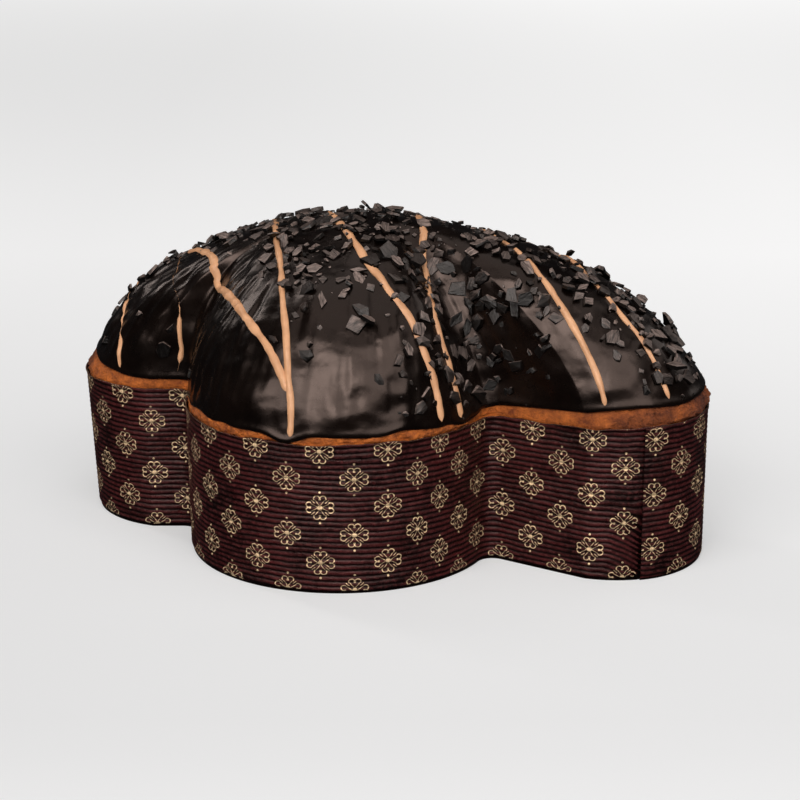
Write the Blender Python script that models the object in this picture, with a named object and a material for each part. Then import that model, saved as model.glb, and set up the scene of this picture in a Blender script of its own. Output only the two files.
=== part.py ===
"""
Colomba easter bread with a chocolate glaze, chocolate flakes and a caramel drizzle,
in the paper mould it was baked in.

Metres, +Z up. +X runs along the bread from its head lobe to its tail lobe, and the
wings stand out along Y. The origin is the middle of the box round the object, on the
surface that the mould stands on.
"""
import math
import random

import bmesh
import bpy
from mathutils import Matrix, Vector

# Plan of the mould: a long body with a head and a tail lobe, crossed by two wings
HEAD_X = -0.1015
HEAD_RADIUS = 0.048
TAIL_X = 0.110
TAIL_RADIUS = 0.0435
WAIST_RADIUS = 0.0145
WING_X = -0.0105
WING_Y = 0.0313
WING_RADIUS = 0.0708
VALLEY_FILLET = 0.008
HEAD_TIP = HEAD_X - HEAD_RADIUS
TAIL_TIP = TAIL_X + TAIL_RADIUS

# Paper mould
CASE_HEIGHT = 0.068
PAPER = 0.0010
CASE_FLOOR = 0.0012
BASE_EDGE = 0.0015
HEAD_LEAN = 0.0044
TAIL_LIFT = 0.0034
RIM_WAVE = 0.0005
SEAM_ANGLE = math.radians(-14.1)
SEAM_STEP = 0.0008
SEAM_FADE = math.radians(11)
SEAM_CUT = math.radians(0.15)

# Dome of the glazed bread above the mould
DOME_RISE = 0.0809
DOME_TILT = 0.0187
DOME_PLAN_POWER = 1.9
DOME_SIDE_POWER = 0.6
# How much the tail's flanks are drawn in half way up, and where round the dome
VALLEY_HOLLOW = 0.28
HOLLOW_ANGLE = math.radians(32)
HOLLOW_WIDTH = math.radians(13)
# Where the head and the tail swell a little more: place along X, height and width
LOBE_SWELLS = ((-0.126, 0.0035, 0.020), (0.106, 0.0010, 0.030))

# Skin of glaze, and the crust that shows between its lip and the paper
GAP = 0.00035
GLAZE = 0.0022
LIP_BEAD = 0.0004
CRUST_INSET = 0.0009
CRUST_BUMP = 0.0006
BREAD_EDGE = 0.004
# Height of the lip above the paper, by the polar angle in degrees from the tail
LIP_HEIGHTS = ((0, 0.0090), (20, 0.0085), (50, 0.0060), (90, 0.0060), (125, 0.0065),
               (155, 0.0090), (180, 0.0120), (200, 0.0075), (222, 0.0050), (250, 0.0050),
               (264, 0.0042), (271, 0.0016), (278, 0.0042), (300, 0.0050), (314, 0.0042),
               (323, 0.0022), (333, 0.0052), (346, 0.0092))

# Mesh density
COLUMN_LENGTH = 0.0178
COLUMN_TURN = math.radians(22.5)
OUTER_ROWS = 11
INNER_ROWS = 7

# Drizzle: strokes over the dome in plan, from behind to the front. An end low on the
# dome runs on to the lip, and the third stroke ends on the fourth
STRAND_WIDTH = 0.0042
STRAND_TOP = 0.0028
STRAND_HEIGHT = 0.0010
STRAND_SINK = 0.0008
STRAND_STEP = 0.030
STRAND_TURN = math.radians(15)
STRAND_SHORTEST = 0.003
STRAND_STILL = 0.0002
STRAND_LOW = math.radians(70.5)
STRAND_END = math.radians(1.6)
STRAND_ROUTES = (
    ((-0.118, 0.042), (-0.1275, 0.001), (-0.124, -0.028), (-0.1175, -0.0446)),
    ((-0.094, 0.044), (-0.1035, 0.010), (-0.096, -0.028), (-0.0865, -0.0420)),
    ((-0.119, 0.018), (-0.0825, -0.0200), (-0.0470, -0.0640), (-0.0100, -0.0960)),
    ((-0.080, 0.056), (-0.0557, -0.001), (-0.0300, -0.0540), (-0.0063, -0.1008)),
    ((-0.065, 0.071), (-0.0251, -0.002), (0.0100, -0.0460), (0.0500, -0.0660)),
    ((-0.035, 0.0965), (0.0030, 0.030), (0.0340, -0.0354), (0.0555, -0.0550)),
    ((-0.016, 0.1008), (0.0300, 0.028), (0.0790, -0.0180), (0.118, -0.0419)),
    ((0.066, 0.031), (0.0850, 0.010), (0.1080, -0.0090), (0.1425, -0.0262)),
)

# Chocolate flakes, the largest of the scatter
FLAKE_SEED = 31
FLAKE_COUNT = 76
FLAKE_TRIES = 40000
FLAKE_LONGEST = 0.0105
FLAKE_SHORTEST = 0.0066
FLAKE_SINK = 0.0013
FLAKE_TILT = math.radians(13)
FLAKE_CLEARANCE = 0.0004
FLAKE_UNEVEN = 1.16

CHOCOLATE = (0.012, 0.007, 0.005, 1.0)
CRUST = (0.36, 0.10, 0.025, 1.0)
MAROON = (0.040, 0.010, 0.013, 1.0)


def clamp(value, low=0.0, high=1.0):
    return max(low, min(high, value))


def smooth_step(value):
    value = clamp(value)
    return value * value * (3 - 2 * value)


def arm_distance(x, y, tip_x, tip_radius):
    """Distance from an arm that runs from the wing centre and widens to a round tip."""
    along = clamp((x - WING_X) / (tip_x - WING_X))
    middle = WING_X + along * (tip_x - WING_X)
    radius = WAIST_RADIUS + along * (tip_radius - WAIST_RADIUS)
    return math.hypot(x - middle, y) - radius


def plan_distance(x, y):
    """Distance from the mould's outline in plan, negative inside."""
    body = min(arm_distance(x, y, HEAD_X, HEAD_RADIUS), arm_distance(x, y, TAIL_X, TAIL_RADIUS))
    wings = math.hypot(x - WING_X, max(abs(y) - WING_Y, 0)) - WING_RADIUS
    corner = math.hypot(max(VALLEY_FILLET - body, 0), max(VALLEY_FILLET - wings, 0))
    return max(VALLEY_FILLET, min(body, wings)) - corner


def outline_radius(angle, inset=0.0):
    """How far a ray from the wing centre runs to the outline moved in by the inset."""
    low, high = 0.0, 0.26
    for _ in range(28):
        middle = (low + high) / 2
        x = WING_X + middle * math.cos(angle)
        if plan_distance(x, middle * math.sin(angle)) < -inset:
            low = middle
        else:
            high = middle
    return low


def oval_radius(angle, inset=0.0):
    """The same for the plain oval that the top of the dome takes."""
    tip = TAIL_TIP if math.cos(angle) > 0 else HEAD_TIP
    length = abs(tip - WING_X) - inset
    width = WING_Y + WING_RADIUS - inset
    return 1 / math.hypot(math.cos(angle) / length, math.sin(angle) / width)


def column_angles():
    """Polar angles of the mesh columns, closer together where the outline bends."""
    samples = 3600
    points = []
    for i in range(samples + 1):
        angle = 2 * math.pi * i / samples
        points.append(Vector((math.cos(angle), math.sin(angle))) * outline_radius(angle))
    total = [0.0]
    for i in range(samples):
        ahead = points[(i + 1) % samples] - points[i]
        behind = points[i] - points[(i - 1) % samples]
        turn = abs(ahead.angle_signed(behind, 0.0))
        total.append(total[-1] + ahead.length / COLUMN_LENGTH + turn / COLUMN_TURN)
    count = round(total[-1])
    angles = []
    place = 0
    for k in range(count):
        while total[place + 1] < k * total[-1] / count:
            place += 1
        angles.append(2 * math.pi * place / samples)
    cut = SEAM_ANGLE % (2 * math.pi)
    angles = [angle for angle in angles if abs(angle - cut) > math.radians(1.2)]
    return sorted(angles + [cut - SEAM_CUT, cut + SEAM_CUT])


def tail_lift(x):
    return TAIL_LIFT * clamp((x - WING_X) / (TAIL_TIP - WING_X)) ** 2


def head_lean(x):
    return -HEAD_LEAN * clamp((WING_X - x) / (WING_X - HEAD_TIP)) ** 2


def lip_height(angle):
    """Height of the glaze's lip above the paper, smoothed between the named angles."""
    degrees = math.degrees(angle) % 360
    for i, (start, height) in enumerate(LIP_HEIGHTS):
        following = LIP_HEIGHTS[(i + 1) % len(LIP_HEIGHTS)]
        end = following[0] if following[0] > start else following[0] + 360
        if start <= degrees < end:
            share = smooth_step((degrees - start) / (end - start))
            wave = 0.0004 * math.sin(math.radians(degrees) * 17)
            return height + share * (following[1] - height) + wave
    return LIP_HEIGHTS[0][1]


def lip_phi(angle):
    """The dome's own angle, 0 at its top and a right angle at the paper, of the lip."""
    share = clamp(lip_height(angle) / DOME_RISE)
    return math.acos(share ** (1 / (2 * DOME_SIDE_POWER)))


def dome_reach(angle, share, inset):
    """Reach of the dome in plan: an oval on top, the outline at the paper, hollowed flanks."""
    edge = outline_radius(angle, inset) * share + oval_radius(angle, inset) * (1 - share)
    turned = abs(math.remainder(angle, 2 * math.pi))
    hollow = VALLEY_HOLLOW * math.exp(-((turned - HOLLOW_ANGLE) / HOLLOW_WIDTH) ** 2)
    return share * edge * (1 - 4 * hollow * share * (1 - share))


def dome_point(angle, phi, inset=0.0):
    """A point of the glazed dome, or of the same dome moved in by the inset."""
    share = math.sin(phi) ** (2 / DOME_PLAN_POWER)
    rise = max(math.cos(phi), 0.0) ** (2 * DOME_SIDE_POWER)
    reach = dome_reach(angle, share, inset)
    x = WING_X + reach * math.cos(angle)
    y = reach * math.sin(angle)
    height = DOME_RISE - inset + DOME_TILT * (x - WING_X)
    swell = 0.0
    for place, tall, width in LOBE_SWELLS:
        swell += tall * math.exp(-((x - place) ** 2 + y ** 2) / width ** 2)
    z = CASE_HEIGHT + tail_lift(x) + rise * height + swell * min(1.0, 3 * rise)
    return Vector((x, y, z))


def dome_normal(angle, phi):
    step = 0.01
    around = dome_point(angle + step, phi) - dome_point(angle - step, phi)
    down = dome_point(angle, phi + step) - dome_point(angle, phi - step)
    return down.cross(around).normalized()


def dome_place(x, y):
    """The polar angle and the dome's own angle over a point of the plan."""
    angle = math.atan2(y, x - WING_X)
    distance = math.hypot(x - WING_X, y)
    low, high = 0.0, math.pi / 2
    for _ in range(24):
        middle = (low + high) / 2
        point = dome_point(angle, middle)
        if math.hypot(point.x - WING_X, point.y) < distance:
            low = middle
        else:
            high = middle
    return angle, low


def strip(mesh, first, second, turned):
    """Triangles between two rings, or between a ring and the single point of a pole."""
    count = max(len(first), len(second))
    for i in range(count):
        k = (i + 1) % count
        if len(first) == 1:
            mesh.faces.new((first[0], second[i], second[k]))
        elif len(second) == 1:
            mesh.faces.new((first[i], second[0], first[k]))
        elif turned:
            mesh.faces.new((first[i], second[i], first[k]))
            mesh.faces.new((first[k], second[i], second[k]))
        else:
            mesh.faces.new((first[i], second[i], second[k]))
            mesh.faces.new((first[i], second[k], first[k]))


def loft(name, rings, turned_from, material):
    """A closed body through rings of points, from the pole on top round to the last pole."""
    mesh = bmesh.new()
    loops = []
    for ring in rings:
        loops.append([mesh.verts.new(point) for point in ring])
    for i in range(len(loops) - 1):
        strip(mesh, loops[i], loops[i + 1], i >= turned_from)
    return as_object(name, mesh, material)


def as_object(name, mesh, material):
    data = bpy.data.meshes.new(name)
    mesh.to_mesh(data)
    mesh.free()
    data.materials.append(material)
    data.shade_smooth()
    data.set_sharp_from_angle(angle=math.radians(38))
    thing = bpy.data.objects.new(name, data)
    bpy.context.scene.collection.objects.link(thing)
    return thing


def plain_material(name, colour, roughness):
    material = bpy.data.materials.new(name)
    material.use_nodes = True
    shader = material.node_tree.nodes["Principled BSDF"]
    shader.inputs["Base Color"].default_value = colour
    shader.inputs["Roughness"].default_value = roughness
    shader.inputs["Metallic"].default_value = 0.0
    material.diffuse_color = colour
    return material


def seam_step(angle):
    """How far the paper's lapped end stands out, from its cut edge onwards."""
    past = (angle - SEAM_ANGLE + math.pi) % (2 * math.pi) - math.pi
    if past < 0:
        return 0.0
    return SEAM_STEP * (1 - smooth_step(past / SEAM_FADE))


def wall_point(angle, height_share, inset, outward=0.0):
    """A point of the mould's wall at a share of its height."""
    radius = outline_radius(angle, inset) + outward
    x = WING_X + radius * math.cos(angle)
    top = CASE_HEIGHT + tail_lift(x) + RIM_WAVE * math.sin(9 * angle) * math.sin(4 * angle)
    return Vector((x + height_share * head_lean(x), radius * math.sin(angle), height_share * top))


def make_case(angles, material):
    """The mould: a flat floor and one wall of paper with a lapped seam."""
    floor_share = CASE_FLOOR / CASE_HEIGHT
    edge_share = BASE_EDGE / CASE_HEIGHT
    rings = [
        [Vector((WING_X, 0, CASE_FLOOR))],
        [wall_point(a, floor_share, PAPER) for a in angles],
        [wall_point(a, 1.0, PAPER) for a in angles],
        [wall_point(a, 1.0, 0.0, seam_step(a)) for a in angles],
        [wall_point(a, 0.5, 0.0, seam_step(a)) for a in angles],
        [wall_point(a, edge_share, 0.0, seam_step(a)) for a in angles],
        [wall_point(a, 0.0, BASE_EDGE) for a in angles],
        [Vector((WING_X, 0, 0))],
    ]
    return loft("paper_case", rings, len(rings), material)


def crust_bump(angle, row):
    wave = math.sin(31 * angle + 2.1 * row) + math.sin(47 * angle - 1.3 * row) * 0.7
    return CRUST_BUMP * wave / 1.7


def crust_point(angle, share):
    """The bare crust, from the paper's edge at share 0 up to just under the lip at 1."""
    phi = lip_phi(angle) + math.radians(1.7)
    top = dome_point(angle, min(phi, math.radians(89.2)), CRUST_INSET)
    base = wall_point(angle, 1.0, PAPER + GAP)
    point = base.lerp(top, share)
    swollen = math.sin(math.pi * clamp(share)) * 0.9 + 0.1
    outward = Vector((math.cos(angle), math.sin(angle), 0))
    return point + outward * swollen * (crust_bump(angle, share * 6) - 0.0002)


def make_bread(angles, material):
    """The loaf: it fills the mould, shows its crust over the paper and backs the glaze."""
    inset = GLAZE + GAP
    rings = [[dome_point(0.0, 0.0, inset)]]
    for row in range(1, INNER_ROWS + 1):
        share = row / INNER_ROWS
        rings.append([dome_point(a, lip_phi(a) * share, inset) for a in angles])
    rings.append([crust_point(a, 1.0) for a in angles])
    rings.append([crust_point(a, 0.5) for a in angles])
    rings.append([crust_point(a, 0.0) for a in angles])
    floor = CASE_FLOOR + GAP
    rings.append([wall_point(a, (floor + BREAD_EDGE) / CASE_HEIGHT, PAPER + GAP) for a in angles])
    rings.append([wall_point(a, floor / CASE_HEIGHT, PAPER + GAP + BREAD_EDGE) for a in angles])
    rings.append([Vector((WING_X, 0, floor))])
    return loft("bread", rings, len(rings), material)


def make_glaze(angles, material):
    """The skin of chocolate with a rounded lip, before the flakes and drizzle are fused on."""
    rings = [[dome_point(0.0, 0.0)]]
    for row in range(1, OUTER_ROWS):
        share = row / OUTER_ROWS
        rings.append([dome_point(a, lip_phi(a) * share) for a in angles])
    rings.append([dome_point(a, lip_phi(a) - math.radians(0.6), -LIP_BEAD) for a in angles])
    rings.append([dome_point(a, lip_phi(a) + math.radians(0.6), CRUST_INSET) for a in angles])
    turned_from = len(rings) - 1
    for row in range(INNER_ROWS, 0, -1):
        share = row / INNER_ROWS
        rings.append([dome_point(a, lip_phi(a) * share, GLAZE) for a in angles])
    rings.append([dome_point(0.0, 0.0, GLAZE)])
    return loft("glaze", rings, turned_from, material)


def curve_through(points, samples):
    """Points along a smooth curve that passes through the given ones."""
    padded = [points[0] * 2 - points[1]] + points + [points[-1] * 2 - points[-2]]
    result = []
    for i in range(1, len(padded) - 2):
        before, start, end, after = padded[i - 1:i + 3]
        for k in range(samples):
            t = k / samples
            result.append(0.5 * (2 * start + (end - before) * t
                                 + (2 * before - 5 * start + 4 * end - after) * t ** 2
                                 + (3 * start - before - 3 * end + after) * t ** 3))
    result.append(points[-1])
    return result


def strand_places(route):
    """Places on the dome along one stroke of drizzle, closer together where it bends."""
    places = []
    for spot in curve_through([Vector(corner) for corner in route], 40):
        angle, phi = dome_place(spot.x, spot.y)
        places.append((angle, min(phi, lip_phi(angle) - STRAND_END)))
    for end in (0, -1):
        angle, phi = places[end]
        rest = lip_phi(angle) - STRAND_END - phi
        if phi > STRAND_LOW:
            run = [(angle, phi + rest * k / 8) for k in range(1, 9)]
            places = places + run if end else run[::-1] + places
    points = [dome_point(*place) for place in places]
    walked = [0.0]
    for i in range(1, len(points)):
        step = points[i] - points[i - 1]
        before = points[i - 1] - points[i - 2] if i > 1 else step
        turn = step.angle(before, 0.0) if step.length > STRAND_STILL else 0.0
        walked.append(walked[-1] + step.length / STRAND_STEP + turn / STRAND_TURN)
    steps = max(2, round(walked[-1]))
    chosen = []
    for k in range(steps + 1):
        wanted = k * walked[-1] / steps
        nearest = min(range(len(walked)), key=lambda i: abs(walked[i] - wanted))
        if not chosen or (points[nearest] - points[chosen[-1]]).length > STRAND_SHORTEST:
            chosen.append(nearest)
    return [places[i] for i in chosen]


def make_strand(places, number, material):
    """One stroke of drizzle: a low ridge that follows the dome, sunk a little into it."""
    points = [dome_point(*place) for place in places]
    mesh = bmesh.new()
    loops = []
    for i, place in enumerate(places):
        normal = dome_normal(*place)
        ahead = points[min(i + 1, len(points) - 1)] - points[max(i - 1, 0)]
        side = ahead.cross(normal).normalized()
        width = STRAND_WIDTH * (1 + 0.12 * math.sin(2.3 * i + number))
        low = points[i] - normal * STRAND_SINK
        high = points[i] + normal * STRAND_HEIGHT
        corners = (low - side * width / 2, low + side * width / 2,
                   high + side * STRAND_TOP / 2, high - side * STRAND_TOP / 2)
        loops.append([mesh.verts.new(corner) for corner in corners])
    for i in range(len(loops) - 1):
        for k in range(4):
            n = (k + 1) % 4
            mesh.faces.new((loops[i][k], loops[i][n], loops[i + 1][n], loops[i + 1][k]))
    mesh.faces.new(loops[0][::-1])
    mesh.faces.new(loops[-1])
    bmesh.ops.recalc_face_normals(mesh, faces=mesh.faces[:])
    return as_object(f"strand_{number}", mesh, material)


def flaked_width(x):
    """Half the width, along Y, of the zone that the flakes were strewn over."""
    shoulder = 0.062 * math.exp(-((x - 0.002) / 0.050) ** 2)
    return 0.016 + shoulder + 0.016 * smooth_step((x - 0.040) / 0.050)


def flake_chance(x, y):
    edge = abs(y) / flaked_width(x)
    return 0.04 + 0.96 * (1 - smooth_step((edge - 0.70) / 0.45))


def flake_spots(count, strands):
    """Seeded places for the flakes, the largest first, clear of each other and the drizzle."""
    draw = random.Random(FLAKE_SEED)
    spots = []
    drizzled = []
    for places in strands:
        points = [dome_point(*place) for place in places]
        for start, end in zip(points, points[1:]):
            drizzled += [start.lerp(end, k / 4) for k in range(5)]
    for attempt in range(FLAKE_TRIES):
        x = draw.uniform(HEAD_TIP, TAIL_TIP)
        y = draw.uniform(-WING_Y - WING_RADIUS, WING_Y + WING_RADIUS)
        chance = draw.random()
        if plan_distance(x, y) > -0.006 or chance > flake_chance(x, y):
            continue
        size = FLAKE_LONGEST + (FLAKE_SHORTEST - FLAKE_LONGEST) * len(spots) / count
        angle, phi = dome_place(x, y)
        point = dome_point(angle, phi)
        reach = size * FLAKE_UNEVEN / 2 + FLAKE_CLEARANCE
        if any((point - spot).length < reach + STRAND_WIDTH / 2 for spot in drizzled):
            continue
        if any((point - other[2]).length < reach + other[3] * FLAKE_UNEVEN / 2 for other in spots):
            continue
        spots.append((angle, phi, point, size, draw.random(), draw.random(), draw.random()))
        if len(spots) == count:
            break
    return spots


def make_flake(spot, number, material):
    """One shard: a thin uneven prism, tilted, with its lowest corner in the glaze."""
    angle, phi, point, size, turn, tilt, form = spot
    normal = dome_normal(angle, phi)
    corners = 4 + round(form)
    thickness = 0.0015 + 0.0010 * form
    hinge = Vector((math.cos(9 * turn), math.sin(9 * turn), 0))
    lean = Matrix.Rotation(FLAKE_TILT * (0.3 + 0.7 * tilt), 3, hinge)
    outline = []
    for k in range(corners):
        around = 2 * math.pi * (k + 0.28 * math.sin(5 * form + 2 * k)) / corners
        reach = size / 2 * (1 + (FLAKE_UNEVEN - 1) * math.sin(11 * tilt + 3 * k))
        slim = 0.58 + 0.3 * turn
        outline.append(Vector((math.cos(around) * reach, math.sin(around) * reach * slim, 0)))
    frame = normal.to_track_quat("Z", "X").to_matrix() @ Matrix.Rotation(2 * math.pi * turn, 3, "Z")
    low = [lean @ place for place in outline]
    sunk = min(place.z for place in low) + FLAKE_SINK
    mesh = bmesh.new()
    loops = []
    for level, scale in ((0.0, 1.0), (thickness, 0.86)):
        ring = []
        for place in outline:
            local = lean @ (place * scale + Vector((0, 0, level)))
            ring.append(mesh.verts.new(point + frame @ (local - Vector((0, 0, sunk)))))
        loops.append(ring)
    for k in range(corners):
        n = (k + 1) % corners
        mesh.faces.new((loops[0][k], loops[0][n], loops[1][n], loops[1][k]))
    mesh.faces.new(loops[0][::-1])
    mesh.faces.new(loops[1])
    return as_object(f"flake_{number}", mesh, material)


def drop_scraps(thing):
    """Keeps only the largest body of a mesh, which also fills sealed pockets."""
    mesh = bmesh.new()
    mesh.from_mesh(thing.data)
    waiting = set(mesh.faces)
    bodies = []
    while waiting:
        stack = [waiting.pop()]
        body = []
        while stack:
            face = stack.pop()
            body.append(face)
            for edge in face.edges:
                for other in edge.link_faces:
                    if other in waiting:
                        waiting.discard(other)
                        stack.append(other)
        bodies.append(body)
    bodies.sort(key=len)
    for body in bodies[:-1]:
        bmesh.ops.delete(mesh, geom=body, context="FACES")
    bmesh.ops.triangulate(mesh, faces=mesh.faces[:])
    mesh.to_mesh(thing.data)
    mesh.free()


def fuse(thing, pieces):
    """Joins the pieces to the thing in one Boolean union, then removes them."""
    group = bpy.data.collections.new("toppings")
    bpy.context.scene.collection.children.link(group)
    for piece in pieces:
        bpy.context.scene.collection.objects.unlink(piece)
        group.objects.link(piece)
    union = thing.modifiers.new("fuse", "BOOLEAN")
    union.operation = "UNION"
    union.operand_type = "COLLECTION"
    union.collection = group
    union.solver = "MANIFOLD"
    depsgraph = bpy.context.evaluated_depsgraph_get()
    joined = bpy.data.meshes.new_from_object(thing.evaluated_get(depsgraph))
    thing.modifiers.clear()
    thing.data = joined
    for piece in pieces:
        bpy.data.objects.remove(piece, do_unlink=True)
    bpy.data.collections.remove(group)
    drop_scraps(thing)


def main():
    for thing in list(bpy.data.objects):
        bpy.data.objects.remove(thing, do_unlink=True)
    chocolate = plain_material("chocolate_glaze", CHOCOLATE, 0.28)
    crust = plain_material("baked_crust", CRUST, 0.75)
    paper = plain_material("maroon_paper", MAROON, 0.5)
    angles = column_angles()
    make_case(angles, paper)
    make_bread(angles, crust)
    glaze = make_glaze(angles, chocolate)
    toppings = []
    strands = [strand_places(route) for route in STRAND_ROUTES]
    for number, places in enumerate(strands):
        toppings.append(make_strand(places, number, chocolate))
    for number, spot in enumerate(flake_spots(FLAKE_COUNT, strands)):
        toppings.append(make_flake(spot, number, chocolate))
    fuse(glaze, toppings)


main()
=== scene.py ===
"""
Looks of the chocolate-glazed colomba: wavy glaze, flakes, caramel drizzle, baked crust
and the ridged, printed paper mould, in a pale studio.

Metres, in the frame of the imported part. The form is worked out from the same driving
sizes as the solids.
"""
import math
import random

import bpy
import numpy as np
from mathutils import Matrix, Vector


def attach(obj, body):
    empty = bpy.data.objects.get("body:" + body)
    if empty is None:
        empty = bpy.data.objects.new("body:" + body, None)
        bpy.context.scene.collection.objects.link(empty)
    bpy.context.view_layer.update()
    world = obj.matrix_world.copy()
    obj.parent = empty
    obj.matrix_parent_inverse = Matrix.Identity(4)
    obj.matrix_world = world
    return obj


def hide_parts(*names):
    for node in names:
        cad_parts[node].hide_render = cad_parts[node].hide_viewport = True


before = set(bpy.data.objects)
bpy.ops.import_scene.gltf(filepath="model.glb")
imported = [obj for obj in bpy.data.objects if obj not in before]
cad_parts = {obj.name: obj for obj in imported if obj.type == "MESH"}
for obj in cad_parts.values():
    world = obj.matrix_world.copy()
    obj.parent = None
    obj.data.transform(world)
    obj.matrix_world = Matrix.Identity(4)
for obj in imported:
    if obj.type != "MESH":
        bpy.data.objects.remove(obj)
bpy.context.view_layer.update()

# Plan of the mould, as in the solids
HEAD_X = -0.1015
HEAD_RADIUS = 0.048
TAIL_X = 0.110
TAIL_RADIUS = 0.0435
WAIST_RADIUS = 0.0145
WING_X = -0.0105
WING_Y = 0.0313
WING_RADIUS = 0.0708
VALLEY_FILLET = 0.008
HEAD_TIP = HEAD_X - HEAD_RADIUS
TAIL_TIP = TAIL_X + TAIL_RADIUS

# Paper mould
CASE_HEIGHT = 0.068
PAPER = 0.0010
CASE_FLOOR = 0.0012
FLOOR_INSET = 0.0016
HEAD_LEAN = 0.0044
TAIL_LIFT = 0.0034
RIM_WAVE = 0.0005
SEAM_ANGLE = math.radians(-14.1)
SEAM_STEP = 0.0008
SEAM_FADE = math.radians(11)
SEAM_LAP = math.radians(3.2)
SHEET = 0.00045
WALL_COLUMNS = 560
WALL_ROWS = 190
RIDGE_PITCH = 0.00243
RIDGE_DEPTH = 0.00052
RIM_NOTCH = 0.00035
RIM_CURL = 0.0005
FOOT_TUCK = 0.0011
FOOT_HEIGHT = 0.0022
LAP_STEPS = 5
LAP_TUCK = 0.00035
CRUMPLE_REACH = 0.016
CRUMPLE_TOP = 0.040
CRUMPLE_FADE = 0.022
CRUMPLE_LIFT = 0.0075
CRUMPLE_DENT = 0.0007
INNER_SHARES = (1.0, 0.9, 0.5, 0.0)
INNER_GAP = 0.0003
PRINT_ACROSS = 0.0300
PRINT_UP = 0.0255
PRINT_START = (0.0022, 0.0016)
PRINT_TAIL_SHIFT = 0.0070
PRINT_SEAM_SHIFT = 0.0122

# Ornament of the print: places and sizes from its centre outwards
PETAL_SQUEEZE = 0.87
PETAL_FOOT = 0.0008
PETAL_START = 0.0011
PETAL_NECK = 0.0034
PETAL_FLARE = 0.70
PETAL_SLIM = 0.82
LOBE_PLACE = (0.0041, 0.00120)
LOBE_RADIUS = 0.00118
STAMEN_SPAN = (0.0030, 0.0047)
DROP_PLACE = 0.0038
DROP_RADIUS = 0.00024
CENTRE_RADIUS = 0.00080
BEAD_PLACE = 0.0070
BEAD_RADIUS = 0.00030
THINNER = 0.00008
FAR_OFF = 0.01
DIAGONAL = 0.7071
LINE_EDGE = (0.00012, 0.00027)

# Dome, as in the solids
DOME_RISE = 0.0809
DOME_TILT = 0.0187
DOME_PLAN_POWER = 1.9
DOME_SIDE_POWER = 0.6
VALLEY_HOLLOW = 0.28
HOLLOW_ANGLE = math.radians(32)
HOLLOW_WIDTH = math.radians(13)
LOBE_SWELLS = ((-0.126, 0.0035, 0.020), (0.106, 0.0010, 0.030))
GLAZE = 0.0022
CRUST_INSET = 0.0009
LIP_HEIGHTS = ((0, 0.0090), (20, 0.0085), (50, 0.0060), (90, 0.0060), (125, 0.0065),
               (155, 0.0090), (180, 0.0120), (200, 0.0075), (222, 0.0050), (250, 0.0050),
               (264, 0.0042), (271, 0.0016), (278, 0.0042), (300, 0.0050), (314, 0.0042),
               (323, 0.0022), (333, 0.0052), (346, 0.0092))
SKIN_COLUMNS = 720
SKIN_ROWS = 132
CRUST_COLUMNS = 1000
COVERED_ROWS = 12
CRUST_ROWS = 30
EDGE_RELIEF_FADE = 0.10

# Relief: height, wavelength and seed of each layer of waves
GLAZE_WAVES = ((0.00050, 0.045, 3), (0.00036, 0.015, 4))
GLAZE_RIPPLES = ((0.00009, 0.007, 6),)
GLAZE_STREAK = 0.00036
GLAZE_CREASE = 0.00022
GLAZE_BEAD = 0.0005
CRUST_WAVES = ((0.00052, 0.010, 31), (0.00040, 0.0042, 32), (0.00024, 0.0021, 33))
WAVE_COUNT = 18
STREAK_COUNT = 14

# Baked crust
CRUST_GAP = 0.0003
CRUST_SWELL = 0.0004
END_SWELL = 0.0017
TORN_SWELL = 0.0010
TORN_FOLD = 0.0011
TORN_ANGLE = -17.0
TORN_WIDTH = 3.2
COVERED_GAP = 0.0018
BREAD_GAP = 0.0004
BREAD_FOOT = 0.004

# Drizzle: its routes are those of the solids
STRAND_WIDTHS = (0.0025, 0.0025, 0.0041, 0.0033, 0.0038, 0.0035, 0.0031, 0.0026)
BROKEN_STRANDS = ((0, 0.116), (1, 0.105))
STRAND_HEIGHT = 0.0011
STRAND_SINK = 0.0004
STRAND_LOW = math.radians(70.5)
STRAND_END = math.radians(1.2)
JOINED_STRAND = 2
STRAND_STEP = 0.0011
STRAND_WANDER = 0.00030
STRAND_TAPER = 0.0026
STRAND_ROUTES = (
    ((-0.118, 0.042), (-0.1275, 0.001), (-0.124, -0.028), (-0.1175, -0.0446)),
    ((-0.094, 0.044), (-0.1035, 0.010), (-0.096, -0.028), (-0.0865, -0.0420)),
    ((-0.119, 0.018), (-0.0825, -0.0200), (-0.0470, -0.0640), (-0.0100, -0.0960)),
    ((-0.080, 0.056), (-0.0557, -0.001), (-0.0300, -0.0540), (-0.0063, -0.1008)),
    ((-0.065, 0.071), (-0.0251, -0.002), (0.0100, -0.0460), (0.0500, -0.0660)),
    ((-0.035, 0.0965), (0.0030, 0.030), (0.0340, -0.0354), (0.0555, -0.0550)),
    ((-0.016, 0.1008), (0.0300, 0.028), (0.0790, -0.0180), (0.118, -0.0419)),
    ((0.066, 0.031), (0.0850, 0.010), (0.1080, -0.0090), (0.1425, -0.0262)),
)

# Flakes
FLAKE_SEED = 31
SMALL_FLAKES = 720
FLAKE_SMALLEST = 0.0030
FLAKE_LARGEST = 0.0102
CLUSTER = (0.043, -0.053, 0.019)
FLAKE_TRIES = 30000
FLAKE_SINK = 0.0006
STEEP = 0.55
STACK_STEP = 0.0007
STACK_MOST = 0.0020
CRUMBS = 420
CRUMB_SIZES = (0.0007, 0.0020)
CRUMB_SINK = 0.00015
CRUMB_TURN = 6.28

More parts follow.
